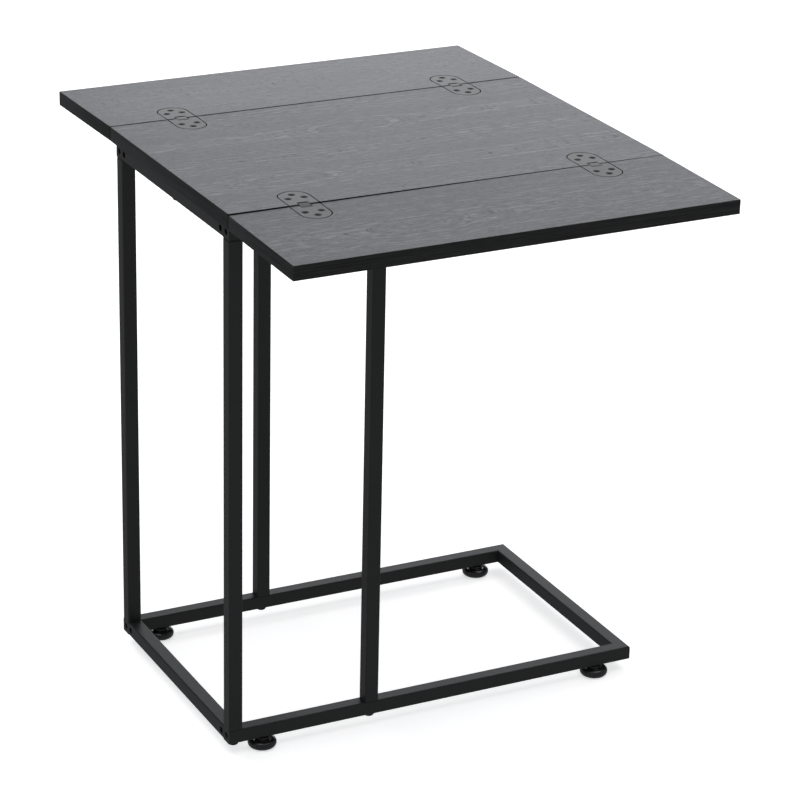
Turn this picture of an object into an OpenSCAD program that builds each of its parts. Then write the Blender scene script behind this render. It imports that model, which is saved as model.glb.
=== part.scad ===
// C-shaped side table with a three-board top whose outer boards fold in.
// Origin: centre of the footprint, on the floor. +X runs from the closed end
// (two outer legs) to the open end, +Y across the top, +Z up. Millimetres.

/* [Table top] */
// Length of all three boards, along X
board_l = 480; // [400:1:560]
// Width of the fixed middle board
middle_w = 303; // [280:1:340]
// Width of each folding leaf
leaf_w = 146.9; // [120:0.1:150]
// Thickness of the boards
board_t = 15; // [12:0.5:18]
// Open seam between the middle board and a leaf
seam_gap = 1.6; // [1.6:0.1:3]
// Thickness of the edging glued round each board
edging_t = 0.6; // [0.4:0.1:1]
// Angle that each open leaf hangs below level
leaf_sag = 1; // [0:0.1:2]

/* [Frame] */
// Height of the table top above the floor
table_h = 586; // [480:1:700]
// Length of the base and of the top frame
frame_l = 472; // [380:1:540]
// Width of the base and of the top frame
frame_w = 290; // [240:1:300]
// Side of the square tube
tube = 15; // [14:0.5:20]
// Wall of the square tube
wall = 1.2; // [1:0.1:1.5]
// Outer corner radius of the square tube
tube_r = 1.5; // [0.5:0.1:2]
// From the closed end to the near side of the inner legs
inner_leg = 154; // [120:1:200]
// Open joint between the top of a leg and the top frame
leg_gap = 1; // [0.5:0.1:1.5]

/* [Levelling feet] */
// Height of a foot below the base rail
foot_h = 13; // [13:0.5:20]
// Diameter of the foot's disc
foot_d = 30; // [24:1:34]
// From the end of the rail to the centre of a foot
foot_inset = 40; // [30:1:60]
// Diameter of the threaded stud
stud_d = 6; // [5:0.5:6]

/* [Hinges] */
// Length of an open hinge, across the seam
hinge_l = 80; // [70:1:90]
// Width of a hinge
hinge_w = 31; // [28:1:36]
// Thickness of a hinge plate
plate_t = 3; // [2.5:0.1:3.5]
// From the end of the board to the centre of a hinge
hinge_inset = 80; // [60:1:140]
// Width of the link between the two plates
link_w = 11; // [9:0.5:13]
// From the seam's centre line to either pin
pin_off = 3.4; // [3.4:0.1:4]
// Diameter of a hinge pin
pin_d = 2; // [1.6:0.1:2.2]

/* [Fasteners] */
// Diameter of the bolts that hold the legs
bolt_d = 6; // [5:0.5:6]
// Diameter of the screws that hold the middle board
board_screw_d = 4; // [3:0.5:5]

/* [Hidden] */
$fn = 48;

// Heights of the main parts
base_z = foot_h;
leg_z = base_z + tube;
board_z = table_h - board_t;
ring_z = board_z - tube;
leg_l = ring_z - leg_gap - leg_z;

// Plan positions
half_l = frame_l / 2;
half_w = frame_w / 2;
rail_y = half_w - tube / 2;
outer_leg_x = -half_l + tube / 2;
inner_leg_x = -half_l + inner_leg + tube / 2;
foot_x = half_l - foot_inset;
side_l = frame_w - 2 * tube;
inner = tube - 2 * wall;
vent_y = side_l / 2 - 5.5;
vent_r = 3.5;

// Fittings in the tubes: end plugs stay clear of the leg bolts
plug = inner - 0.1;
plug_l = 1.9;
insert_l = 14;
collar = 13.4;
nut_r = 4.2;
nut_l = 9;
stud_in_pad = 3;

// Seam and hinge positions
seam_y = middle_w / 2 + seam_gap / 2;
hinge_x = board_l / 2 - hinge_inset;
link_r = 2;
pin_depth = link_r;
pin_y = seam_y + pin_off;
pin_z = table_h - pin_depth;
pin_l = hinge_w - 6;
plate_r = hinge_w / 2;
round_y = hinge_l / 2 - plate_r;
boss_y = pin_off + 3.6;
boss_t = 4.6;
slot_w = link_w + 0.5;
slot_y = pin_off + link_r + 0.35;
groove = 0.8;
plate_holes = [[-8.5, 20], [8.5, 20], [0, 30.5]];
screw_r = 1.5;
head_r = 3.2;

// Screws that hold the middle board: one at each end rail, two in each side rail
side_screw_x = [-150, 110];
board_screw_l = tube + 10;
board_screws_at = [
    for (x = side_screw_x) for (s = [-1, 1]) [x, s * rail_y],
    [-half_l + tube / 2, 0],
    [half_l - tube / 2, 0]
];
legs_at = [for (x = [outer_leg_x, inner_leg_x]) for (s = [-1, 1]) [x, s * rail_y]];

// Colours
steel = [0.17, 0.18, 0.17];
dark_steel = [0.12, 0.12, 0.12];
top_charcoal = [0.26, 0.26, 0.27];
edge_black = [0.12, 0.12, 0.125];
hinge_charcoal = [0.3, 0.31, 0.3];
zinc = [0.6, 0.6, 0.6];
black_plastic = [0.08, 0.08, 0.08];

// ---- Square tube ----

// Outline of the tube with rounded outer corners, centred
module tube_outline() {
    c = tube / 2 - tube_r;
    difference() {
        union() {
            square([tube, 2 * c], center = true);
            square([2 * c, tube], center = true);
            for (x = [-c, c]) for (y = [-c, c]) translate([x, y]) circle(tube_r);
        }
        square(inner, center = true);
    }
}

// Tube along X, its lower face on z = 0
module tube_x(l) {
    translate([-l / 2, 0, tube / 2])
        rotate([90, 0, 90])
            linear_extrude(l) tube_outline();
}

// Tube along Y, its lower face on z = 0
module tube_y(l) {
    translate([0, l / 2, tube / 2])
        rotate([90, 0, 0])
            linear_extrude(l) tube_outline();
}

// Everything past the 45 degree joint at the front corner of the open end
module past_mitre(side) {
    translate([half_l, -half_w, -1])
        rotate([0, 0, 45])
            translate([side > 0 ? 0 : -60, -60, 0])
                cube([60, 120, tube + 2]);
}

// Hole down through the lower wall of a rail
module lower_hole(x, y, r) {
    translate([x, y, -1]) cylinder(h = wall + 2, r = r);
}

// Hole down through the upper wall of a rail
module upper_hole(x, y, r) {
    translate([x, y, tube - wall - 1]) cylinder(h = wall + 2, r = r);
}

// Long rail on side s (-1 front, 1 back), mitred at the open end
module long_rail(s) {
    difference() {
        translate([0, s * rail_y, 0]) tube_x(frame_l);
        mirror([0, s > 0 ? 1 : 0, 0]) past_mitre(1);
    }
}

// Short rail at the closed end, butted between the long rails
module closed_end_rail() {
    difference() {
        translate([outer_leg_x, 0, 0]) tube_y(side_l);
        for (s = [-1, 1])
            translate([-half_l - 1, s * vent_y, tube / 2])
                rotate([0, 90, 0]) cylinder(h = wall + 2, r = vent_r);
    }
}

// Short rail at the open end, mitred into the long rails
module open_end_rail() {
    difference() {
        translate([half_l - tube / 2, 0, 0]) tube_y(frame_w);
        past_mitre(-1);
        mirror([0, 1, 0]) past_mitre(-1);
    }
}

module base_long_rail(s) {
    color(steel)
        translate([0, 0, base_z])
            difference() {
                long_rail(s);
                for (x = [outer_leg_x, inner_leg_x]) {
                    lower_hole(x, s * rail_y, bolt_d / 2 + 0.2);
                    upper_hole(x, s * rail_y, bolt_d / 2 + 0.2);
                }
                for (x = [-foot_x, foot_x])
                    lower_hole(x, s * rail_y, nut_r + 0.05);
            }
}

module top_long_rail(s) {
    color(steel)
        translate([0, 0, ring_z])
            difference() {
                long_rail(s);
                for (x = [outer_leg_x, inner_leg_x]) {
                    lower_hole(x, s * rail_y, bolt_d / 2 + 0.2);
                    upper_hole(x, s * rail_y, 5.6);
                }
                for (x = side_screw_x) {
                    lower_hole(x, s * rail_y, board_screw_d / 2 + 0.2);
                    upper_hole(x, s * rail_y, board_screw_d / 2 + 0.2);
                }
            }
}

// A short rail of the top frame, drilled for its board screw
module drilled_short_rail(x) {
    color(steel)
        translate([0, 0, ring_z])
            difference() {
                children();
                lower_hole(x, 0, board_screw_d / 2 + 0.2);
                upper_hole(x, 0, board_screw_d / 2 + 0.2);
            }
}

module base_front_rail() base_long_rail(-1);
module base_back_rail() base_long_rail(1);
module base_left_rail() color(steel) translate([0, 0, base_z]) closed_end_rail();
module base_right_rail() color(steel) translate([0, 0, base_z]) open_end_rail();
module top_front_rail() top_long_rail(-1);
module top_back_rail() top_long_rail(1);
module top_left_rail() drilled_short_rail(outer_leg_x) closed_end_rail();
module top_right_rail() drilled_short_rail(-outer_leg_x) open_end_rail();

module leg(x, s) {
    color(steel)
        translate([x, s * rail_y, leg_z])
            linear_extrude(leg_l) tube_outline();
}

module front_outer_leg() leg(outer_leg_x, -1);
module back_outer_leg() leg(outer_leg_x, 1);
module front_inner_leg() leg(inner_leg_x, -1);
module back_inner_leg() leg(inner_leg_x, 1);

// ---- Fittings inside the tubes ----

// Plugs in the closed ends of the four long rails, each with a round hole
module rail_end_plugs() {
    color(dark_steel)
        for (z = [base_z, ring_z]) for (s = [-1, 1])
            translate([-half_l, s * rail_y, z + tube / 2])
                rotate([0, 90, 0])
                    difference() {
                        translate([-plug / 2, -plug / 2, 0]) cube([plug, plug, plug_l]);
                        translate([0, 0, -1]) cylinder(h = plug_l + 2, r = vent_r);
                    }
}

// Threaded plug that closes the end of a leg, with a flange of height f on top
module leg_insert(f) {
    difference() {
        union() {
            translate([-plug / 2, -plug / 2, 0]) cube([plug, plug, insert_l]);
            if (f > 0)
                translate([-collar / 2, -collar / 2, insert_l]) cube([collar, collar, f]);
        }
        translate([0, 0, -1]) cylinder(h = insert_l + f + 2, r = bolt_d / 2 + 0.05);
    }
}

module leg_bottom_inserts() {
    color(black_plastic)
        for (p = legs_at)
            translate([p[0], p[1], leg_z + insert_l]) mirror([0, 0, 1]) leg_insert(0);
}

module leg_top_inserts() {
    color(black_plastic)
        for (p = legs_at)
            translate([p[0], p[1], ring_z - leg_gap - insert_l]) leg_insert(leg_gap);
}

// Button-head bolt, head below z = 0 and shank up to z = l
module button_bolt(d, l, hr, hh, socket) {
    difference() {
        union() {
            rotate_extrude()
                intersection() {
                    translate([0, -hh]) square([hr, hh]);
                    translate([0, hr * 0.55]) circle(hr * 0.55 + hh);
                }
            cylinder(h = l, r = d / 2);
        }
        translate([0, 0, -hh - 1]) cylinder(h = 1 + hh * 0.55, r = socket, $fn = 6);
    }
}

module base_leg_bolts() {
    color(dark_steel)
        for (p = legs_at)
            translate([p[0], p[1], base_z]) button_bolt(bolt_d, tube + 12, 6, 4, 2.2);
}

// These sit inside the top frame and point down into the legs
module top_leg_bolts() {
    color(dark_steel)
        for (p = legs_at)
            translate([p[0], p[1], ring_z + wall])
                mirror([0, 0, 1]) button_bolt(bolt_d, wall + 12, 5.2, 4, 2.2);
}

module board_screws() {
    color(dark_steel)
        for (p = board_screws_at)
            translate([p[0], p[1], ring_z])
                button_bolt(board_screw_d, board_screw_l, 5, 4, 1.3);
}

// Rivet nut in the lower wall of a base rail
module foot_nut() {
    difference() {
        union() {
            translate([0, 0, -0.8]) cylinder(h = 0.8, r = 5.4);
            cylinder(h = nut_l, r = nut_r);
        }
        translate([0, 0, -1.8]) cylinder(h = nut_l + 3, r = stud_d / 2 + 0.06);
    }
}

module foot_nuts() {
    color(dark_steel)
        for (x = [-foot_x, foot_x]) for (s = [-1, 1])
            translate([x, s * rail_y, base_z]) foot_nut();
}

// ---- Levelling feet ----

// Disc with a rounded rim, a dished top and a hub round the stud
module foot_pad(x, s) {
    rim = 4.9;
    color(black_plastic)
        translate([x, s * rail_y, 0])
            difference() {
                rotate_extrude($fn = 64) {
                    square([foot_d / 2 - rim, 2 * rim - 0.9]);
                    translate([foot_d / 2 - rim, rim]) circle(rim);
                    square([7.4, 10.6]);
                    translate([0, 10.6]) square([6.4, 1]);
                    translate([6.4, 10.6]) circle(1);
                }
                translate([0, 0, stud_in_pad]) cylinder(h = 20, r = stud_d / 2 + 0.02);
            }
}

module foot_stud(x, s) {
    color(zinc)
        translate([x, s * rail_y, stud_in_pad])
            cylinder(h = base_z + nut_l + 3 - stud_in_pad, r = stud_d / 2);
}

module front_left_foot() foot_pad(-foot_x, -1);
module front_right_foot() foot_pad(foot_x, -1);
module back_left_foot() foot_pad(-foot_x, 1);
module back_right_foot() foot_pad(foot_x, 1);
module front_left_stud() foot_stud(-foot_x, -1);
module front_right_stud() foot_stud(foot_x, -1);
module back_left_stud() foot_stud(-foot_x, 1);
module back_right_stud() foot_stud(foot_x, 1);

// ---- Hinges ----
// In a hinge's own frame y = 0 is the seam's centre line, +y runs out into
// the leaf and z = 0 is the upper face of the boards.

// Puts a hinge on side s (-1 front, 1 back) and at end t (-1 left, 1 right)
module at_hinge(t, s) {
    translate([t * hinge_x, s * seam_y, table_h])
        mirror([0, s < 0 ? 1 : 0, 0])
            children();
}

// Turns a leaf and what is screwed to it down to where it hangs open
module leaf_pose(s) {
    translate([0, s * pin_y, pin_z])
        rotate([-s * leaf_sag, 0, 0])
            translate([0, -s * pin_y, -pin_z])
                children();
}

// Half of the long round-ended outline, grown by g
module half_outline(g) {
    translate([-plate_r - g, 0]) square([2 * (plate_r + g), round_y]);
    translate([0, round_y]) circle(plate_r + g);
}

// Plate for the leaf side, from the seam to its round end
module half_plate() {
    color(hinge_charcoal)
        difference() {
            union() {
                translate([0, 0, -plate_t]) linear_extrude(plate_t) half_outline(0);
                translate([-plate_r, 0, -boss_t]) cube([hinge_w, boss_y, boss_t]);
            }
            translate([-plate_r - 1, -plate_r - 1, -10])
                cube([hinge_w + 2, plate_r + 1 + seam_gap / 2, 20]);
            translate([-slot_w / 2, -1, -10]) cube([slot_w, slot_y + 1, 20]);
            translate([-pin_l / 2 - 0.2, pin_off, -pin_depth])
                rotate([0, 90, 0]) cylinder(h = pin_l + 0.4, r = pin_d / 2 + 0.06);
            for (p = plate_holes)
                translate([p[0], p[1], 0]) {
                    translate([0, 0, -10]) cylinder(h = 20, r = screw_r + 0.3);
                    translate([0, 0, -2.2]) cylinder(h = 2.3, r1 = screw_r + 0.3, r2 = head_r + 0.45);
                }
        }
}

// Link between the two plates: flush with their upper faces, round ended
module hinge_link() {
    color(hinge_charcoal)
        translate([-link_w / 2, 0, -pin_depth])
            rotate([90, 0, 90])
                linear_extrude(link_w)
                    difference() {
                        union() {
                            for (y = [-pin_off, pin_off]) translate([y, 0]) circle(link_r);
                            square([2 * pin_off, 2 * link_r], center = true);
                        }
                        for (y = [-pin_off, pin_off]) translate([y, 0]) circle(pin_d / 2 + 0.02);
                    }
}

module hinge_pins() {
    for (y = [-pin_off, pin_off])
        translate([-pin_l / 2, y, -pin_depth])
            rotate([0, 90, 0]) cylinder(h = pin_l, r = pin_d / 2);
}

// Countersunk wood screw with a crossed slot, its head just below z = 0
module plate_screw() {
    difference() {
        union() {
            translate([0, 0, -2.2]) cylinder(h = 2, r1 = screw_r, r2 = head_r);
            translate([0, 0, -12]) cylinder(h = 10, r = screw_r);
        }
        for (a = [45, 135])
            rotate([0, 0, a]) translate([-2, -0.45, -1.3]) cube([4, 0.9, 2]);
    }
}

module side_screws() {
    color(dark_steel)
        for (p = plate_holes) translate([p[0], p[1], 0]) plate_screw();
}

module fixed_plate(t, s) at_hinge(t, s) mirror([0, 1, 0]) half_plate();
module leaf_plate(t, s) leaf_pose(s) at_hinge(t, s) half_plate();
module pins(s) color(zinc) for (t = [-1, 1]) at_hinge(t, s) hinge_pins();

module front_left_fixed_plate() fixed_plate(-1, -1);
module front_right_fixed_plate() fixed_plate(1, -1);
module back_left_fixed_plate() fixed_plate(-1, 1);
module back_right_fixed_plate() fixed_plate(1, 1);
module front_left_leaf_plate() leaf_plate(-1, -1);
module front_right_leaf_plate() leaf_plate(1, -1);
module back_left_leaf_plate() leaf_plate(-1, 1);
module back_right_leaf_plate() leaf_plate(1, 1);
module front_left_link() at_hinge(-1, -1) hinge_link();
module front_right_link() at_hinge(1, -1) hinge_link();
module back_left_link() at_hinge(-1, 1) hinge_link();
module back_right_link() at_hinge(1, 1) hinge_link();
module front_hinge_pins() pins(-1);
module back_hinge_pins() pins(1);

module fixed_plate_screws() {
    for (t = [-1, 1]) for (s = [-1, 1]) at_hinge(t, s) mirror([0, 1, 0]) side_screws();
}

module leaf_screws(s) {
    leaf_pose(s) for (t = [-1, 1]) at_hinge(t, s) side_screws();
}

module front_leaf_screws() leaf_screws(-1);
module back_leaf_screws() leaf_screws(1);

// ---- Boards ----

// Recess for one side of a hinge, with pilot holes for its screws
module plate_recess() {
    translate([0, 0, -plate_t - 0.3])
        linear_extrude(plate_t + 1.3)
            difference() {
                half_outline(groove);
                translate([-50, -100]) square([100, 100]);
            }
    translate([-plate_r - groove, 0, -boss_t - 0.6])
        cube([2 * (plate_r + groove), boss_y + groove, boss_t + 1.6]);
    for (p = plate_holes)
        translate([p[0], p[1], -13]) cylinder(h = 12, r = screw_r + 0.05);
}

// Board of width w with its corner at the origin, less the edging
module board_core(w) {
    translate([edging_t, edging_t, 0])
        cube([board_l - 2 * edging_t, w - 2 * edging_t, board_t]);
}

module board_edging(w) {
    difference() {
        cube([board_l, w, board_t]);
        translate([edging_t, edging_t, -1])
            cube([board_l - 2 * edging_t, w - 2 * edging_t, board_t + 2]);
    }
}

// Cuts the middle board's four recesses and its screw holes out of the children
module as_middle() {
    difference() {
        translate([-board_l / 2, -middle_w / 2, board_z]) children();
        for (t = [-1, 1]) for (s = [-1, 1]) at_hinge(t, s) mirror([0, 1, 0]) plate_recess();
        for (p = board_screws_at)
            translate([p[0], p[1], board_z - 1]) cylinder(h = 12, r = board_screw_d / 2 + 0.05);
    }
}

// Places the children as the leaf on side s and cuts its two recesses
module as_leaf(s) {
    leaf_pose(s)
        difference() {
            mirror([0, s < 0 ? 1 : 0, 0])
                translate([-board_l / 2, seam_y + seam_gap / 2, board_z])
                    children();
            for (t = [-1, 1]) at_hinge(t, s) plate_recess();
        }
}

module middle_board() color(top_charcoal) as_middle() board_core(middle_w);
module middle_board_edging() color(edge_black) as_middle() board_edging(middle_w);
module front_leaf_board() color(top_charcoal) as_leaf(-1) board_core(leaf_w);
module front_leaf_edging() color(edge_black) as_leaf(-1) board_edging(leaf_w);
module back_leaf_board() color(top_charcoal) as_leaf(1) board_core(leaf_w);
module back_leaf_edging() color(edge_black) as_leaf(1) board_edging(leaf_w);

// ---- Output ----

base_front_rail();
base_back_rail();
base_left_rail();
base_right_rail();
top_front_rail();
top_back_rail();
top_left_rail();
top_right_rail();
front_outer_leg();
back_outer_leg();
front_inner_leg();
back_inner_leg();
rail_end_plugs();
leg_bottom_inserts();
leg_top_inserts();
base_leg_bolts();
top_leg_bolts();
board_screws();
foot_nuts();
middle_board();
middle_board_edging();
front_leaf_board();
front_leaf_edging();
back_leaf_board();
back_leaf_edging();
front_left_fixed_plate();
front_right_fixed_plate();
back_left_fixed_plate();
back_right_fixed_plate();
front_left_leaf_plate();
front_right_leaf_plate();
back_left_leaf_plate();
back_right_leaf_plate();
front_left_link();
front_right_link();
back_left_link();
back_right_link();
front_hinge_pins();
back_hinge_pins();
fixed_plate_screws();
front_leaf_screws();
back_leaf_screws();
front_left_foot();
front_right_foot();
back_left_foot();
back_right_foot();
front_left_stud();
front_right_stud();
back_left_stud();
back_right_stud();
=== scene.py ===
"""Looks for a C-shaped side table with a fold-in top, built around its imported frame."""

import math

import bmesh
import bpy
from mathutils import Matrix, Vector


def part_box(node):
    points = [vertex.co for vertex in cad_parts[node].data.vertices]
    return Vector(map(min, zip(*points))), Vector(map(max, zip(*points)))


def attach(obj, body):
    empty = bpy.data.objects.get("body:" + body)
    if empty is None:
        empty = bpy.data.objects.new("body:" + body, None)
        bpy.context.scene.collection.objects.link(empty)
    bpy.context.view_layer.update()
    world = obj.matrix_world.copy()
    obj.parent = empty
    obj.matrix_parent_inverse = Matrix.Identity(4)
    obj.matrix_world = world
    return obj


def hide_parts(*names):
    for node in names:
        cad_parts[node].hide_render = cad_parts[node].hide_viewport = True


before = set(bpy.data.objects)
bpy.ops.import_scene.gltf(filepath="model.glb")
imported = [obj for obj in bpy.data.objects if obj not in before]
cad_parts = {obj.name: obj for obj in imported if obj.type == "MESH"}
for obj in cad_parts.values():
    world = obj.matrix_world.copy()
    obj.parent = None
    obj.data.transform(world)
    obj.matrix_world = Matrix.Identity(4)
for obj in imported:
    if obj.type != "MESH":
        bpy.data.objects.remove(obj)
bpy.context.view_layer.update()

MM = 0.001
ENDS = (-1, 1)
SIDES = {"front": -1, "back": 1}

# Sizes shared with the part, in millimetres
EDGING = 0.6
LEAF_SAG = math.radians(1)
PLATE_THICK = 3.0
BOSS_THICK = 4.6
HINGE_WIDE = 31.0
HINGE_LONG = 80.0
PLATE_ROUND = HINGE_WIDE / 2
ROUND_AT = HINGE_LONG / 2 - PLATE_ROUND
SEAM_HALF = 0.8
PIN_OFF = 3.4
PIN_DEEP = 2.0
PIN_LONG = HINGE_WIDE - 6
PIN_ROUND = 1.0
BOSS_AT = PIN_OFF + 3.6
LINK_WIDE = 11.0
LINK_ROUND = 2.0
SCREW_HOLES = ((-8.5, 20.0), (8.5, 20.0), (0.0, 30.5))
SIDE_SCREWS_AT = (-150.0, 110.0)
SCREW_IN_BOARD = 10.0
FOOT_ROUND = 15.0
HUB_ROUND = 7.4
VENT_ROUND = 3.5

# Sizes of the looks only, in millimetres
GROOVE = 1.2
LIP_AT = 1.3
SLOT_WIDE = LINK_WIDE + 1.0
SLOT_AT = PIN_OFF + LINK_ROUND + 1.3
BORE_ROOM = 0.6
PLATE_ROOM = 0.3
BOSS_ROOM = 0.6
ROLL_ROOM = 0.02
PILOT_ROUND = 1.55
SCREW_BORE = 1.8
SCREW_SINK = 3.68
BOLT_IN_LEG = 12.0
PLUG_HALF = 6.2

# Play in the front hinges over the length of the board, also in the looks only: how far the
# leaf drops at the closed end, how far its seam narrows towards the open end, and how much
# of that it is shortened by
SLACK = 0.95
SHUT = 1.2
TRIM = 0.3

# Mesh care: points closer than this, in metres, are one point, and edges that turn more
# than these degrees stay sharp
WELD = 0.004 * MM
SHARP = 32
PLATE_SHARP = 14


# ---- Places ----

def middle_of(node):
    """The centre of a node's box."""
    low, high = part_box(node)
    return (low + high) / 2


def seam_place(side):
    """Where the seam on this side crosses the table, and the height of the top."""
    low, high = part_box("middle_board_edging")
    outer = high.y if side > 0 else low.y
    return outer + side * SEAM_HALF * MM, high.z


def hinge_frame(end, side):
    """Turns a hinge's own frame (millimetres, y out into the leaf) into its place."""
    word = "back" if side > 0 else "front"
    hand = "right" if end > 0 else "left"
    across, top = seam_place(side)
    along = middle_of(f"{word}_{hand}_link").x
    return (
        Matrix.Translation((along, across, top))
        @ Matrix.Diagonal((1, side, 1, 1))
        @ Matrix.Scale(MM, 4)
    )


def place_at(x, y, z):
    """Puts a shape made in millimetres at a place in metres."""
    return Matrix.Translation((x, y, z)) @ Matrix.Scale(MM, 4)


def turn_about(point, angle, axis):
    """A turn about an axis through a point."""
    return (
        Matrix.Translation(point)
        @ Matrix.Rotation(angle, 4, axis)
        @ Matrix.Translation(-Vector(point))
    )


def slack_slope(side):
    """How steeply the play in the front hinges lets that leaf drop towards the closed end."""
    low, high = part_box("middle_board_edging")
    return SLACK * MM / (high.x - low.x) if side < 0 else 0


def leaf_swing(side):
    """Lets a flat leaf down to the angle that it hangs open at, with the play in its hinges."""
    across, top = seam_place(side)
    low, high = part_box("middle_board_edging")
    pin = Vector((0, across + side * PIN_OFF * MM, top - PIN_DEEP * MM))
    slope = math.atan(slack_slope(side))
    drop = turn_about((high.x, 0, low.z), -slope, "Y")
    closing = turn_about((low.x, across, 0), slope * SHUT / SLACK, "Z")
    trim = Matrix.Scale(1 - TRIM * abs(slope) * SHUT / SLACK, 4, (1, 0, 0))
    trimmed = Matrix.Translation((low.x, 0, 0)) @ trim @ Matrix.Translation((-low.x, 0, 0))
    return drop @ closing @ trimmed @ turn_about(pin, -side * LEAF_SAG, "X")


def link_tilt(end, side):
    """How a link follows the play in its hinge, in the hinge's own frame."""
    open_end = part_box("middle_board_edging")[1].x
    along = hinge_frame(end, side).translation.x
    fall = slack_slope(side) * (open_end - along) / MM
    return turn_about((0, -PIN_OFF, -PIN_DEEP), -math.asin(fall / (2 * PIN_OFF)), "X")


# ---- Shapes ----

def block(low, high):
    """A plain block between two corners."""
    shape = bmesh.new()
    low, high = Vector(low), Vector(high)
    bmesh.ops.create_cube(shape, size=1)
    bmesh.ops.scale(shape, vec=high - low, verts=shape.verts)
    bmesh.ops.translate(shape, vec=(low + high) / 2, verts=shape.verts)
    return shape


def rod(radius, low, high, segments=32, top_radius=None):
    """A round bar or cone along z."""
    shape = bmesh.new()
    bmesh.ops.create_cone(
        shape,
        cap_ends=True,
        segments=segments,
        radius1=radius,
        radius2=radius if top_radius is None else top_radius,
        depth=high - low,
    )
    bmesh.ops.translate(shape, vec=(0, 0, (low + high) / 2), verts=shape.verts)
    return shape


def move(shape, matrix):
    """Moves, turns or mirrors a shape, keeping its faces pointing outwards."""
    bmesh.ops.transform(shape, matrix=matrix, verts=shape.verts)
    if matrix.determinant() < 0:
        bmesh.ops.reverse_faces(shape, faces=shape.faces)
    return shape


def shifted(shape, x=0, y=0, z=0):
    """Moves a shape along the axes."""
    return move(shape, Matrix.Translation((x, y, z)))


def along_x(shape):
    """Lays a shape made along z down along x."""
    return move(shape, Matrix.Rotation(math.radians(90), 4, "Y"))


def copy_into(shape, other, matrix=None):
    """Adds a moved copy of another shape."""
    mesh = bpy.data.meshes.new("copy")
    twin = other.copy()
    if matrix is not None:
        move(twin, matrix)
    twin.to_mesh(mesh)
    shape.from_mesh(mesh)
    twin.free()
    bpy.data.meshes.remove(mesh)
    return shape


def round_edges(shape, edges, radius, segments=2):
    """Rounds the given edges."""
    bmesh.ops.bevel(
        shape,
        geom=list(edges),
        offset=radius,
        offset_type="OFFSET",
        segments=segments,
        profile=0.5,
        affect="EDGES",
        material=-1,
        clamp_overlap=True,
    )
    return shape


def edges_where(shape, test):
    """Edges whose two ends both pass a test."""
    return [e for e in shape.edges if all(test(v.co) for v in e.verts)]


def near(a, b, reach=0.01):
    """Whether two values agree within a small reach."""
    return abs(a - b) < reach


def turned(points, steps=48):
    """Spins an outline of (radius, height) points once round the z axis."""
    shape = bmesh.new()
    corners = [shape.verts.new((r, 0, z)) for r, z in points]
    pairs = zip(corners, corners[1:])
    edges = [shape.edges.new(pair) for pair in pairs]
    bmesh.ops.spin(
        shape,
        geom=corners + edges,
        cent=(0, 0, 0),
        axis=(0, 0, 1),
        angle=2 * math.pi,
        steps=steps,
        use_merge=True,
    )
    bmesh.ops.remove_doubles(shape, verts=shape.verts, dist=0.0005)
    bmesh.ops.recalc_face_normals(shape, faces=shape.faces)
    return shape


def temporary(shape, name, finishes):
    """An object that only lives while a cut is made."""
    mesh = bpy.data.meshes.new(name)
    shape.to_mesh(mesh)
    shape.free()
    for finish in finishes:
        mesh.materials.append(finish)
    thing = bpy.data.objects.new(name, mesh)
    bpy.context.scene.collection.objects.link(thing)
    return thing


def cut(shape, *cutters, finishes=()):
    """Takes each cutter out of a shape in turn. With two finishes, the cut takes the second."""
    if len(finishes) > 1:
        for cutter in cutters:
            for face in cutter.faces:
                face.material_index = 1
    work = temporary(shape, "work", finishes)
    tools = [temporary(cutter, "tool", finishes) for cutter in cutters]
    for tool in tools:
        step = work.modifiers.new("cut", "BOOLEAN")
        step.operation = "DIFFERENCE"
        step.solver = "EXACT"
        step.object = tool
    ready = work.evaluated_get(bpy.context.evaluated_depsgraph_get())
    result = bmesh.new()
    result.from_mesh(ready.to_mesh())
    ready.to_mesh_clear()
    for thing in (work, *tools):
        mesh = thing.data
        bpy.data.objects.remove(thing)
        bpy.data.meshes.remove(mesh)
    bmesh.ops.remove_doubles(result, verts=result.verts, dist=1e-7)
    return result


def piece(name, shape, finish, body, nodes, sharp=SHARP, cut_finish=None):
    """Makes a finished shape into a piece that rides on a body and stands for nodes."""
    bmesh.ops.remove_doubles(shape, verts=shape.verts, dist=WELD)
    bmesh.ops.dissolve_degenerate(shape, edges=shape.edges, dist=WELD)
    bmesh.ops.recalc_face_normals(shape, faces=shape.faces)
    mesh = bpy.data.meshes.new(name)
    shape.to_mesh(mesh)
    shape.free()
    mesh.shade_smooth()
    mesh.set_sharp_from_angle(angle=math.radians(sharp))
    mesh.materials.append(finish)
    if cut_finish:
        mesh.materials.append(cut_finish)
    thing = bpy.data.objects.new(name, mesh)
    bpy.context.scene.collection.objects.link(thing)
    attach(thing, body)
    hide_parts(*nodes)
    return thing


# ---- Finishes ----

class Amount:
    """A value that varies over a surface. Arithmetic on it adds the nodes it needs."""

    def __init__(self, finish, socket):
        self.finish = finish
        self.socket = socket

    def reckon(self, operation, *terms):
        """The result of one sum on the given terms."""
        return self.finish.add("ShaderNodeMath", {"operation": operation}, dict(enumerate(terms)))

    def __add__(self, other):
        return self.reckon("ADD", self, other)

    def __sub__(self, other):
        return self.reckon("SUBTRACT", self, other)

    def __rsub__(self, other):
        return self.reckon("SUBTRACT", other, self)

    def __mul__(self, other):
        return self.reckon("MULTIPLY", self, other)

    def __pow__(self, power):
        return self.reckon("POWER", self, power)

    __radd__ = __add__


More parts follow.
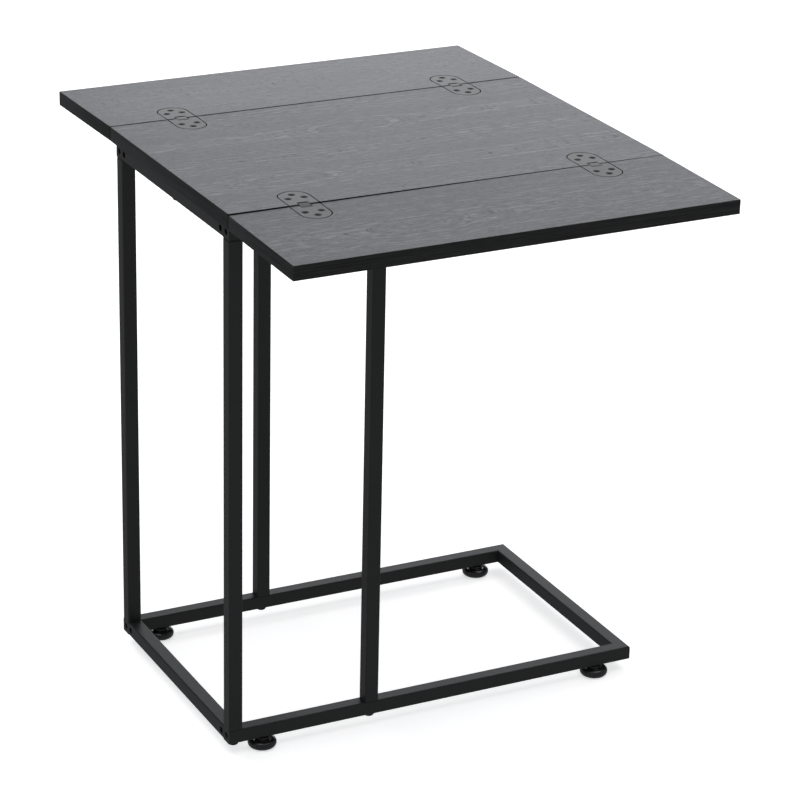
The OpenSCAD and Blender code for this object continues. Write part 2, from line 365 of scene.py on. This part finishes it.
class Finish:
    """A surface finish built from nodes on its one Principled shader."""

    def __init__(self, name, constants):
        self.material = bpy.data.materials.new(name)
        self.material.use_nodes = True
        self.tree = self.material.node_tree
        self.surface = self.tree.nodes["Principled BSDF"]
        for socket, value in constants.items():
            self.surface.inputs[socket].default_value = value
        self.here = self.add("ShaderNodeTexCoord", output="Object")

    def feed(self, socket, value):
        """Links a varying amount to a socket, or sets a plain value on it."""
        if isinstance(value, Amount):
            self.tree.links.new(value.socket, socket)
        else:
            socket.default_value = value

    def add(self, kind, settings=None, inputs=None, output=0):
        """Adds a node and gives back one of its outputs."""
        node = self.tree.nodes.new(kind)
        for name, value in (settings or {}).items():
            setattr(node, name, value)
        for name, value in (inputs or {}).items():
            self.feed(node.inputs[name], value)
        return Amount(self, node.outputs[output])

    def paint(self, socket, value):
        """Feeds one input of the surface."""
        self.feed(self.surface.inputs[socket], value)

    def noise(self, scale, detail=2.0, shift=(0, 0, 0), point=None, roughness=0.5):
        """Soft noise, stretched by a scale for each direction."""
        place = self.add(
            "ShaderNodeMapping",
            {"vector_type": "POINT"},
            {"Vector": point or self.here, "Location": shift, "Scale": scale},
        )
        return self.add(
            "ShaderNodeTexNoise",
            {"noise_dimensions": "3D"},
            {"Vector": place, "Scale": 1.0, "Detail": detail, "Roughness": roughness},
            output="Fac",
        )

    def ease(self, value, low, high):
        """0 below low, 1 above high, smooth between."""
        return self.add(
            "ShaderNodeMapRange",
            {"interpolation_type": "SMOOTHSTEP"},
            {"Value": value, "From Min": low, "From Max": high},
            output="Result",
        )

    def blend(self, share, first, second):
        """A colour between two colours."""
        return self.add(
            "ShaderNodeMix",
            {"data_type": "RGBA", "clamp_factor": True},
            {0: share, 6: (*first, 1), 7: (*second, 1)},
            output=2,
        )

    def relief(self, height, depth):
        """A fine relief, its height given as a depth in metres."""
        bump = self.add("ShaderNodeBump", None, {"Height": height, "Distance": depth})
        self.paint("Normal", bump)


def grain_figure(finish, hearts, seed):
    """The distance from the nearest heart of a wandering trunk, and thin growth lines from it."""
    x, y = (
        finish.add("ShaderNodeSeparateXYZ", None, {"Vector": finish.here}, axis) for axis in "XY"
    )
    sway = finish.noise((4.5, 9, 0), 2, (seed, seed * 2, 0)) - 0.5
    waver = finish.noise((20, 70, 0), 3, (seed * 3, seed, 0)) - 0.5
    level = y + sway * 0.024 + waver * 0.005
    rings = None
    for heart_x, heart_y, half_wide, left, right in hearts:
        along = x - heart_x
        across = level - heart_y
        deep = (finish.ease(along, 0, -left) + finish.ease(along, 0, right)) * half_wide
        around = (across * across + deep * deep) ** 0.5
        rings = around if rings is None else rings.reckon("SMOOTH_MIN", rings, around, 0.02)
    line = finish.add("ShaderNodeCombineXYZ", None, {"X": rings, "Y": seed})
    growth = finish.noise((230, 1, 1), 2, (0, 0, 0), line, 0.6)
    away = (growth - 0.5).reckon("ABSOLUTE", growth - 0.5)
    worn = finish.ease(finish.noise((60, 220, 0), 2, (0, seed, 0)), 0.4, 0.64)
    flow = finish.add("ShaderNodeCombineXYZ", None, {"X": x, "Y": rings, "Z": seed})
    return flow, (1 - finish.ease(away, 0.0, 0.075)) * worn


def woodgrain(name, hearts, seed, figure, painted_shade):
    """Satin charcoal melamine with a fine embossed grain that runs round the hearts.

    The figure is how strong the growth lines are, and the shade is painted shade: it darkens the
    whole board, so the middle board and front leaf are darker copies of one laminate, standing in
    for the less light they reflect at their angles.
    """
    finish = Finish(name, {"IOR": 1.5, "Specular IOR Level": 0.42})
    flow, lines = grain_figure(finish, hearts, seed)
    streaks = finish.noise((64, 470, 1), 3, (seed, 0, 0), flow, 0.62)
    hairs = finish.noise((180, 1500, 1), 2, (0, seed, 0), flow)
    clouds = finish.noise((7, 12, 0), 2, (seed, 0, 0))
    pores = finish.ease(hairs, 0.56, 0.7)
    # the shade term is painted shade, darkening this board's colour for the light it reflects less
    # of
    tone = streaks * 1.5 + lines * figure + clouds * 0.3 - pores * 0.35 - 0.52 - painted_shade
    finish.paint("Base Color", finish.blend(tone, (0.008, 0.008, 0.0095), (0.092, 0.093, 0.104)))
    finish.paint("Roughness", 0.33 + streaks * 0.14 + pores * 0.1)
    finish.relief(streaks * 0.6 + lines * 0.7 - pores * 0.5, 0.00013)
    return finish.material


def board_core():
    """The cut walls of the hinge pockets, near black as painted shade for the narrow, deep grooves
    round the plates.
    """
    finish = Finish("board_core", {"IOR": 1.45, "Specular IOR Level": 0.1})
    chips = finish.noise((700, 700, 700), 3)
    # the near-black colour is painted shade for the deep, narrow grooves
    finish.paint("Base Color", finish.blend(chips, (0.004, 0.004, 0.004), (0.014, 0.013, 0.012)))
    finish.paint("Roughness", 0.8 + chips * 0.15)
    finish.relief(chips, 0.0001)
    return finish.material


def edge_banding():
    """Near-black edging with faint lengthwise streaks."""
    finish = Finish("edge_banding", {"IOR": 1.46, "Specular IOR Level": 0.18})
    streaks = finish.noise((9, 9, 900), 3, (0.3, 0.7, 0), None, 0.6)
    fine = finish.noise((60, 60, 2600), 2)
    tone = finish.ease(streaks * 0.7 + fine * 0.3, 0.35, 0.7)
    finish.paint("Base Color", finish.blend(tone, (0.006, 0.006, 0.0065), (0.022, 0.023, 0.0225)))
    finish.paint("Roughness", 0.46 + fine * 0.1)
    finish.relief(streaks + fine * 0.5, 0.00004)
    return finish.material


def powder_coat():
    """Satin black powder coat with a fine orange peel."""
    finish = Finish("powder_coat", {"IOR": 1.45, "Specular IOR Level": 0.32})
    peel = finish.noise((700, 700, 700), 2)
    speck = finish.noise((2600, 2600, 2600), 1)
    drift = finish.noise((6, 6, 6), 2)
    colour = finish.blend(drift, (0.0105, 0.011, 0.0108), (0.0165, 0.0173, 0.017))
    finish.paint("Base Color", colour)
    finish.paint("Roughness", 0.4 + drift * 0.08 + speck * 0.06)
    finish.relief(peel * 0.7 + speck * 0.3, 0.00007)
    return finish.material


def hinge_lacquer():
    """Satin charcoal lacquer over a cast plate."""
    finish = Finish("hinge_lacquer", {"IOR": 1.5, "Specular IOR Level": 0.42})
    cast = finish.noise((420, 420, 420), 3)
    speck = finish.noise((3000, 3000, 3000), 1)
    drift = finish.noise((45, 45, 45), 2)
    tone = drift * 0.7 + speck * 0.3
    colour = finish.blend(tone, (0.025, 0.0265, 0.0255), (0.052, 0.0545, 0.0525))
    finish.paint("Base Color", colour)
    finish.paint("Roughness", 0.36 + cast * 0.1)
    finish.relief(cast, 0.00005)
    return finish.material


def black_oxide():
    """Black oxide on screws and bolts."""
    finish = Finish("black_oxide", {"IOR": 1.5, "Specular IOR Level": 0.14})
    stain = finish.noise((500, 500, 500), 3)
    turning = finish.noise((1200, 1200, 5000), 2)
    finish.paint("Base Color", finish.blend(stain, (0.004, 0.004, 0.004), (0.013, 0.013, 0.0135)))
    finish.paint("Roughness", 0.42 + stain * 0.16)
    finish.relief(turning, 0.00002)
    return finish.material


def zinc_plating():
    """Bright zinc on the hidden fittings and pins."""
    finish = Finish("zinc_plating", {"Metallic": 1.0})
    spangle = finish.noise((260, 260, 260), 3)
    drawn = finish.noise((1500, 90, 1500), 2)
    finish.paint("Base Color", finish.blend(spangle, (0.42, 0.43, 0.44), (0.62, 0.62, 0.6)))
    finish.paint("Roughness", 0.28 + drawn * 0.18)
    finish.relief(drawn, 0.00003)
    return finish.material


def moulded_nylon():
    """Glossy black nylon of the feet."""
    finish = Finish("moulded_nylon", {"IOR": 1.5})
    flow = finish.noise((90, 90, 30), 2)
    speck = finish.noise((2200, 2200, 2200), 1)
    finish.paint("Base Color", finish.blend(flow, (0.006, 0.006, 0.006), (0.014, 0.014, 0.0145)))
    finish.paint("Roughness", 0.14 + flow * 0.1 + speck * 0.04)
    finish.relief(flow + speck * 0.4, 0.00003)
    return finish.material


def matt_plug():
    """Matt black plastic of the end plugs."""
    finish = Finish("matt_plug", {"IOR": 1.46})
    spark = finish.noise((1300, 1300, 1300), 2)
    finish.paint("Base Color", finish.blend(spark, (0.008, 0.008, 0.008), (0.02, 0.02, 0.02)))
    finish.paint("Roughness", 0.5 + spark * 0.14)
    finish.relief(spark, 0.00006)
    return finish.material


# ---- Boards ----

def plate_recess():
    """Cutters for one side of a hinge, in the hinge's own frame: pocket, boss and pilot holes."""
    reach = PLATE_ROUND + GROOVE
    floor = -PLATE_THICK - PLATE_ROOM
    pocket = block((-reach, -4, floor), (reach, ROUND_AT, 1))
    rounding = shifted(rod(reach, floor, 1, 64), y=ROUND_AT)
    boss = block((-reach, -4, -BOSS_THICK - BOSS_ROOM), (reach, BOSS_AT + GROOVE, 1))
    pilots = [shifted(rod(PILOT_ROUND, -13, -1, 16), x, y) for x, y in SCREW_HOLES]
    return [pocket, rounding, boss, *pilots]


def recesses(fixed, sides):
    """Every recess of one board. A fixed board's lie on the inner side of the seam."""
    inward = Matrix.Diagonal((1, -1, 1, 1)) if fixed else Matrix.Identity(4)
    return [
        move(cutter, hinge_frame(end, side) @ inward)
        for end in ENDS
        for side in sides
        for cutter in plate_recess()
    ]


def panel(low, high):
    """The core of a board with its two melamine faces, inside the edging."""
    trim = Vector((EDGING, EDGING, 0)) * MM
    return block(low + trim, high - trim)


def edge_band(low, high):
    """The edging round a board, eased along its outer corners."""
    shape = block(low, high)
    ends = [f for f in shape.faces if abs(f.normal.z) > 0.5]
    bmesh.ops.inset_individual(shape, faces=ends, thickness=EDGING * MM, use_even_offset=True)
    inner = [f for f in shape.faces if f in ends]
    loops = [e for f in inner for e in f.edges]
    bmesh.ops.delete(shape, geom=inner, context="FACES_ONLY")
    bmesh.ops.bridge_loops(shape, edges=[e for e in loops if e.is_valid])

    def outside(point):
        return (
            near(point.x, low.x, 1e-6) or near(point.x, high.x, 1e-6)
        ) and (near(point.y, low.y, 1e-6) or near(point.y, high.y, 1e-6))

    outer = edges_where(shape, outside)
    round_edges(shape, outer, 0.3 * MM, 2)
    bmesh.ops.recalc_face_normals(shape, faces=shape.faces)
    return shape


def flat_board(side):
    """The corners of a board that lies flat. Side 0 is the middle board."""
    low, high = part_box("middle_board_edging")
    if not side:
        return low, high
    across, top = seam_place(side)
    name = "back_leaf_edging" if side > 0 else "front_leaf_edging"
    leaf_low, leaf_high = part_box(name)
    pin = across + side * PIN_OFF * MM
    far = leaf_high.y if side > 0 else leaf_low.y
    reach = (abs(far - pin) - PIN_DEEP * MM * math.sin(LEAF_SAG)) / math.cos(LEAF_SAG)
    near_edge = across + side * SEAM_HALF * MM
    far_edge = pin + side * reach
    sides = sorted((near_edge, far_edge))
    return Vector((low.x, sides[0], low.z)), Vector((high.x, sides[1], high.z))


def make_board(word, side, body, surface, banding, pocket_shade):
    """A board's panel and its edging, recessed for the hinges."""
    low, high = flat_board(side)
    fixed = side == 0
    sides = (-1, 1) if fixed else (side,)
    stem = "middle_board" if fixed else f"{word}_leaf"
    core = "middle_board" if fixed else f"{word}_leaf_board"
    for name, node, shape, finish, slot in (
        (f"{stem}_panel", core, panel(low, high), surface, "charcoal_woodgrain"),
        (f"{stem}_edge_band", f"{stem}_edging", edge_band(low, high), banding, "black_edging"),
    ):
        # the cut walls take the pocket finish, whose near black is painted shade for the grooves
        shape = cut(shape, *recesses(fixed, sides), finishes=(finish, pocket_shade))
        if not fixed:
            move(shape, leaf_swing(side))
        piece(name, shape, finish, body, [node], cut_finish=pocket_shade)


# ---- Hinges ----

def hinge_plate():
    """One plate in the hinge's own frame, from its rolled lip at the seam to its round end."""
    shape = bmesh.new()
    bmesh.ops.create_circle(shape, cap_ends=True, segments=96, radius=PLATE_ROUND)
    bmesh.ops.translate(shape, vec=(0, ROUND_AT, 0), verts=shape.verts)
    everything = [*shape.verts, *shape.edges, *shape.faces]
    bmesh.ops.bisect_plane(
        shape, geom=everything, plane_co=(0, ROUND_AT, 0), plane_no=(0, -1, 0), clear_outer=True
    )
    for edge_at in (BOSS_AT, LIP_AT):
        lowest = min(v.co.y for v in shape.verts)
        edge = edges_where(shape, lambda p: near(p.y, lowest))
        grown = bmesh.ops.extrude_edge_only(shape, edges=edge)["geom"]
        ends = [g for g in grown if isinstance(g, bmesh.types.BMVert)]
        bmesh.ops.translate(shape, vec=(0, edge_at - lowest, 0), verts=ends)
    for thick, chosen in (
        (PLATE_THICK, lambda f: True),
        (BOSS_THICK - PLATE_THICK, lambda f: f.calc_center_median().y < BOSS_AT),
    ):
        bottom = min(v.co.z for v in shape.verts)
        faces = [
            f for f in shape.faces
            if abs(f.normal.z) > 0.5 and near(f.calc_center_median().z, bottom) and chosen(f)
        ]
        grown = bmesh.ops.extrude_face_region(shape, geom=faces, use_keep_orig=bottom == 0)["geom"]
        low = [g for g in grown if isinstance(g, bmesh.types.BMVert)]
        bmesh.ops.translate(shape, vec=(0, 0, -thick), verts=low)
    bmesh.ops.recalc_face_normals(shape, faces=shape.faces)
    lip = edges_where(shape, lambda p: near(p.y, LIP_AT) and near(p.z, 0))
    round_edges(shape, lip, 0.6, 3)
    rim = [
        e for e in edges_where(shape, lambda p: near(p.z, 0))
        if len(e.link_faces) == 2 and e.calc_face_angle() > 0.8
    ]
    round_edges(shape, rim, 0.45, 3)
    bmesh.ops.dissolve_degenerate(shape, edges=shape.edges, dist=WELD / MM)
    slot = block((-SLOT_WIDE / 2, -4, -10), (SLOT_WIDE / 2, SLOT_AT, 4))
    half_pin = PIN_LONG / 2 + BORE_ROOM
    bore = block((-half_pin, PIN_OFF - 1.8, -3.15), (half_pin, PIN_OFF + 2.3, -0.15))
    tools = [slot, bore]
    for x, y in SCREW_HOLES:
        tools.append(shifted(rod(SCREW_BORE, -10, 4, 32), x, y))
        tools.append(shifted(rod(SCREW_BORE, -2.2, 0.1, 48, SCREW_SINK), x, y))
    return cut(shape, *tools)


def hinge_link():
    """The link that joins two plates, its ends rolled to a full round."""
    long = PIN_OFF + LINK_ROUND
    shape = block((-LINK_WIDE / 2, -long, -2 * LINK_ROUND), (LINK_WIDE / 2, long, 0))
    lengthwise = [e for e in shape.edges if abs(e.verts[0].co.x - e.verts[1].co.x) > 1]
    round_edges(shape, lengthwise, LINK_ROUND - ROLL_ROOM, 8)
    ends = [
        e for e in edges_where(shape, lambda p: near(abs(p.x), LINK_WIDE / 2))
        if e.calc_face_angle() > 0.8
    ]
    round_edges(shape, ends, 0.2, 2)
    pins = [
        shifted(along_x(rod(PIN_ROUND + ROLL_ROOM, -10, 10, 24)), y=y, z=-PIN_DEEP)
        for y in (-PIN_OFF, PIN_OFF)
    ]
    return cut(shape, *pins)


def cross_recess(width, reach, top, bottom):
    """The tapered cross that a driver fits."""
    tools = []
    for angle in (45, 135):
        wing = block((-reach, -width / 2, bottom), (reach, width / 2, top))
        low = [v for v in wing.verts if near(v.co.z, bottom)]
        bmesh.ops.scale(wing, vec=(0.45, 0.7, 1), verts=low)
        tools.append(move(wing, Matrix.Rotation(math.radians(angle), 4, "Z")))
    return tools


def plate_screw():
    """A countersunk wood screw, its head set below the plate's face."""
    outline = [(0, -0.5), (2.6, -0.5), (2.9, -0.7), (1.5, -2.2), (1.5, -10.5), (0, -12)]
    return cut(turned(outline, 40), *cross_recess(1.1, 2.1, 1, -1.7))


def hinge_pins():
    """The two pins of a hinge, their ends eased, in the hinge's own frame."""
    shape = bmesh.new()
    pin = along_x(rod(PIN_ROUND, -PIN_LONG / 2, PIN_LONG / 2, 24))
    ends = [e for e in pin.edges if near(e.verts[0].co.x, e.verts[1].co.x)]
    round_edges(pin, ends, 0.2, 2)
    for across in (-PIN_OFF, PIN_OFF):
        copy_into(shape, pin, Matrix.Translation((0, across, -PIN_DEEP)))
    pin.free()
    return shape


def make_hinges(lacquer, oxide, zinc):
    """The four hinges: a fixed plate, a leaf plate and a link each, their pins and screws."""
    plate, link, pins, screw = hinge_plate(), hinge_link(), hinge_pins(), plate_screw()
    inward = Matrix.Diagonal((1, -1, 1, 1))
    fixed_screws = bmesh.new()
    for word, side in SIDES.items():
        leaf_screws, both_pins = bmesh.new(), bmesh.new()
        for end, hand in zip(ENDS, ("left", "right")):
            place = hinge_frame(end, side)
            open_leaf = leaf_swing(side) @ place
            linked = place @ link_tilt(end, side)
            copy_into(both_pins, pins, linked)
            name = f"{word}_{hand}"
            for part, source, matrix, body in (
                ("fixed_plate", plate, place @ inward, "frame"),
                ("leaf_plate", plate, open_leaf, f"{word}_leaf"),
                ("link", link, linked, f"{word}_links"),
            ):
                shape = copy_into(bmesh.new(), source, matrix)
                node = f"{name}_{part}"
                piece(
                    f"{node}_cast", shape, lacquer, body, [node], PLATE_SHARP
                )
            for x, y in SCREW_HOLES:
                hole = Matrix.Translation((x, y, 0))
                copy_into(fixed_screws, screw, place @ inward @ hole)
                copy_into(leaf_screws, screw, open_leaf @ hole)
        piece(
            f"{word}_hinge_pin_pairs", both_pins, zinc,
            f"{word}_links", [f"{word}_hinge_pins"],
        )
        piece(
            f"{word}_leaf_crosshead_screws", leaf_screws, oxide,
            f"{word}_leaf", [f"{word}_leaf_screws"],
        )
    piece(
        "fixed_plate_crosshead_screws", fixed_screws, oxide,
        "frame", ["fixed_plate_screws"],
    )
    for shape in (plate, link, pins, screw):
        shape.free()


# ---- Frame fittings ----

def button_bolt(shank):
    """A domed bolt head with a hexagon socket below z = 0, and its shank above."""
    outline = [
        (0, -4), (3.0, -4), (4.9, -3.1), (5.8, -1.5), (6, 0), (3, 0), (3, shank), (0, shank),
    ]
    shape = turned(outline, 40)
    rings = [
        e for e in shape.edges
        if near(e.verts[0].co.z, e.verts[1].co.z) and -3.5 < e.verts[0].co.z < -1
    ]
    round_edges(shape, rings, 0.5, 2)
    return cut(shape, rod(2.3, -6, -1.9, 6))


def pan_screw(shank):
    """A pan-head screw with a cross recess below z = 0, and its shank above."""
    outline = [
        (0, -4), (2.6, -3.9), (4.2, -3.1), (4.9, -1.8), (5, 0), (2, 0), (2, shank), (0, shank),
    ]
    wings = [move(w, Matrix.Diagonal((1, 1, -1, 1))) for w in cross_recess(1.1, 2.2, 6, 2.2)]
    return cut(turned(outline, 40), *wings)


def make_bolts(oxide):
    """The bolts under the base rails and the screws that hold the middle board."""
    rail_low, rail_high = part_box("base_front_rail")
    tube = rail_high.z - rail_low.z
    bolt = button_bolt(tube / MM + BOLT_IN_LEG)
    bolts = bmesh.new()
    for leg in ("front_outer_leg", "back_outer_leg", "front_inner_leg", "back_inner_leg"):
        spot = middle_of(leg)
        copy_into(bolts, bolt, place_at(spot.x, spot.y, rail_low.z))
    piece("base_leg_button_bolts", bolts, oxide, "frame", ["base_leg_bolts"])
    ring_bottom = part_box("top_front_rail")[0].z
    screw = pan_screw(tube / MM + SCREW_IN_BOARD)
    screws = bmesh.new()
    rail_y = middle_of("top_back_rail").y
    spots = [(x * MM, s * rail_y) for x in SIDE_SCREWS_AT for s in ENDS]
    spots += [(middle_of(n).x, 0) for n in ("top_left_rail", "top_right_rail")]
    for x, y in spots:
        copy_into(screws, screw, place_at(x, y, ring_bottom))
    piece("board_pan_screws", screws, oxide, "frame", ["board_screws"])
    bolt.free()
    screw.free()


def end_plug():
    """A square plug with eased edges and a round hole through it, facing -x."""
    shape = block((0, -PLUG_HALF, -PLUG_HALF), (1.9, PLUG_HALF, PLUG_HALF))
    round_edges(shape, edges_where(shape, lambda p: near(p.x, 0)), 0.35, 3)
    hole = along_x(rod(VENT_ROUND, -5, 5, 40))
    shape = cut(shape, hole)
    rim = [
        e for e in edges_where(shape, lambda p: near(p.x, 0))
        if math.hypot(e.verts[0].co.y, e.verts[0].co.z) < VENT_ROUND + 0.5
    ]
    return round_edges(shape, rim, 0.3, 2)


def make_plugs(plastic):
    """The plugs in the closed ends of the four long rails."""
    plug = end_plug()
    plugs = bmesh.new()
    for rail in ("base_front_rail", "base_back_rail", "top_front_rail", "top_back_rail"):
        low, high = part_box(rail)
        middle = (low + high) / 2
        copy_into(plugs, plug, place_at(low.x, middle.y, middle.z))
    piece("rail_end_caps", plugs, plastic, "frame", ["rail_end_plugs"])
    plug.free()


# ---- Feet ----

def foot():
    """A levelling foot: round-rimmed disc, dished top and a hub bored for the stud."""
    outline = [
        (0, 0), (FOOT_ROUND, 0), (FOOT_ROUND, 9.8), (9.4, 9.2), (HUB_ROUND, 8.5),
        (HUB_ROUND, 11.6), (3.02, 11.6), (3.02, 3), (0, 3),
    ]
    shape = turned(outline, 72)

    def ring(radius, height):
        return edges_where(
            shape,
            lambda p: near(math.hypot(p.x, p.y), radius, 0.05) and near(p.z, height, 0.05),
        )

    round_edges(shape, ring(FOOT_ROUND, 0) + ring(FOOT_ROUND, 9.8), 4.8, 9)
    round_edges(shape, ring(HUB_ROUND, 8.5), 0.6, 3)
    round_edges(shape, ring(HUB_ROUND, 11.6), 0.9, 4)
    return shape


def threaded_stud(low, high):
    """A stud with its thread as fine grooves, a millimetre apart."""
    outline = [(0, low), (2.6, low)]
    height = low + 0.25
    while height < high - 1:
        outline += [(3, height + 0.2), (3, height + 0.35), (2.55, height + 0.75)]
        height += 1
    outline += [(2.6, high), (0, high)]
    return turned(outline, 32)


def make_feet(nylon, zinc):
    """The four levelling feet, each with its stud."""
    pad = foot()
    low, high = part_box("front_left_stud")
    stud = threaded_stud(low.z / MM, high.z / MM)
    for word in SIDES:
        for hand in ("left", "right"):
            name = f"{word}_{hand}"
            spot = middle_of(f"{name}_foot")
            for part, node, source, finish, slot in (
                ("foot_moulding", "foot", pad, nylon, "foot_black"),
                ("threaded_stud", "stud", stud, zinc, "zinc_plate"),
            ):
                shape = copy_into(bmesh.new(), source, place_at(spot.x, spot.y, 0))
                body = f"{name}_foot_body"
                piece(f"{name}_{part}", shape, finish, body, [f"{name}_{node}"])
    pad.free()
    stud.free()


# ---- Kept frame parts ----

def dress(node, finish):
    """Gives a kept node a better finish."""
    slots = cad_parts[node].data.materials
    if not slots:
        slots.append(finish)
    for index in range(len(slots)):
        slots[index] = finish


def dress_frame(coat, oxide, plastic):
    """Coats the rails and legs, and finishes the fittings inside them."""
    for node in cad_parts:
        if node.endswith(("_rail", "_leg")) or node == "foot_nuts":
            dress(node, coat)
        elif node == "top_leg_bolts":
            dress(node, oxide)
        elif node.endswith("_inserts"):
            dress(node, plastic)


# ---- Studio ----

def studio_floor():
    """A wide pale floor."""
    shape = bmesh.new()
    bmesh.ops.create_grid(shape, x_segments=8, y_segments=8, size=30)
    mesh = bpy.data.meshes.new("studio_floor")
    shape.to_mesh(mesh)
    shape.free()
    floor = bpy.data.objects.new("studio_floor", mesh)
    bpy.context.scene.collection.objects.link(floor)
    glow = {"Emission Color": (1, 1, 1, 1), "Emission Strength": 0.62}
    finish = Finish("pale_floor", {"Specular IOR Level": 0.1, **glow})
    drift = finish.noise((0.7, 0.7, 0.7), 1)
    finish.paint("Base Color", finish.blend(drift, (0.86, 0.86, 0.86), (0.88, 0.88, 0.88)))
    finish.paint("Roughness", 0.9 + drift * 0.05)
    mesh.materials.append(finish.material)
    floor.visible_glossy = False


def softbox(name, place, aim, wide, high, power, tint=(1, 1, 1)):
    """A soft rectangular light that looks at a point."""
    light = bpy.data.lights.new(name, "AREA")
    light.shape = "RECTANGLE"
    light.size, light.size_y = wide, high
    light.energy = power
    light.color = tint
    thing = bpy.data.objects.new(name, light)
    thing.location = place
    toward = Vector(aim) - Vector(place)
    thing.rotation_euler = toward.to_track_quat("-Z", "Y").to_euler()
    thing.visible_camera = False
    bpy.context.scene.collection.objects.link(thing)


def studio_lights():
    """One big softbox overhead, one low behind, and a weak fill on the left."""
    softbox("overhead_softbox", (0.0, 0.3, 3.4), (0, 0.2, 0), 4.5, 4.5, 90)
    softbox("rear_softbox", (2.4, 3.7, 1.5), (0, 0, 0.55), 3.0, 2.2, 40, (0.95, 0.968, 1.0))
    softbox("left_fill", (-3.2, 0.6, 1.4), (0, 0, 0.3), 1.6, 1.6, 7)
    world = bpy.data.worlds.new("studio")
    bpy.context.scene.world = world
    world.use_nodes = True
    backdrop = world.node_tree.nodes["Background"]
    backdrop.inputs["Color"].default_value = (0.93, 0.95, 1.0, 1)
    backdrop.inputs["Strength"].default_value = 0.3


def studio_camera():
    """A long lens, a little above the table and to its left."""
    yaw, pitch, roll = (math.radians(a) for a in (26.897, 22.138, 1.245))
    flat = math.cos(pitch)
    ahead = Vector((math.sin(yaw) * flat, math.cos(yaw) * flat, -math.sin(pitch)))
    level = Vector((math.cos(yaw), -math.sin(yaw), 0))
    upright = level.cross(ahead)
    right = level * math.cos(roll) + upright * math.sin(roll)
    up = upright * math.cos(roll) - level * math.sin(roll)
    turn = Matrix((right, up, -ahead)).transposed().to_4x4()
    lens = bpy.data.cameras.new("studio_camera")
    lens.lens = 139.07
    lens.sensor_width = 36
    camera = bpy.data.objects.new("studio_camera", lens)
    camera.matrix_world = Matrix.Translation((-1.34748, -2.70403, 1.52985)) @ turn
    bpy.context.scene.collection.objects.link(camera)
    bpy.context.scene.camera = camera
    bpy.context.scene.view_settings.view_transform = "Standard"


# ---- Assembly ----

# Each board: its side, body and grain. The grain has its seed, figure and shade, then its hearts:
# place, half width, and the reach of the loops to each side. The shade is painted shade, darkening
# the boards that reflect less of the studio light
BOARDS = {
    "middle": (0, "frame", (1.7, 1.0, 0.08), (
        (-0.01, 0.06, 0.024, 0.075, 0.085), (-0.15, -0.078, 0.02, 0.06, 0.09),
    )),
    "front": (-1, "front_leaf", (4.3, 0.6, 0.1), (
        (-0.085, -0.245, 0.022, 0.07, 0.07), (0.13, -0.24, 0.02, 0.08, 0.12),
    )),
    "back": (1, "back_leaf", (7.9, 0.35, 0.02), (
        (0.06, 0.235, 0.022, 0.09, 0.09),
    )),
}

studio_floor()
studio_lights()
studio_camera()

coat, oxide, zinc = powder_coat(), black_oxide(), zinc_plating()
banding, pocket_shade, plastic = edge_banding(), board_core(), matt_plug()
for word, (side, body, grain, hearts) in BOARDS.items():
    surface = woodgrain(f"{word}_woodgrain", hearts, *grain)
    make_board(word, side, body, surface, banding, pocket_shade)
make_hinges(hinge_lacquer(), oxide, zinc)
make_bolts(oxide)
make_plugs(plastic)
make_feet(moulded_nylon(), zinc)
dress_frame(coat, oxide, plastic)
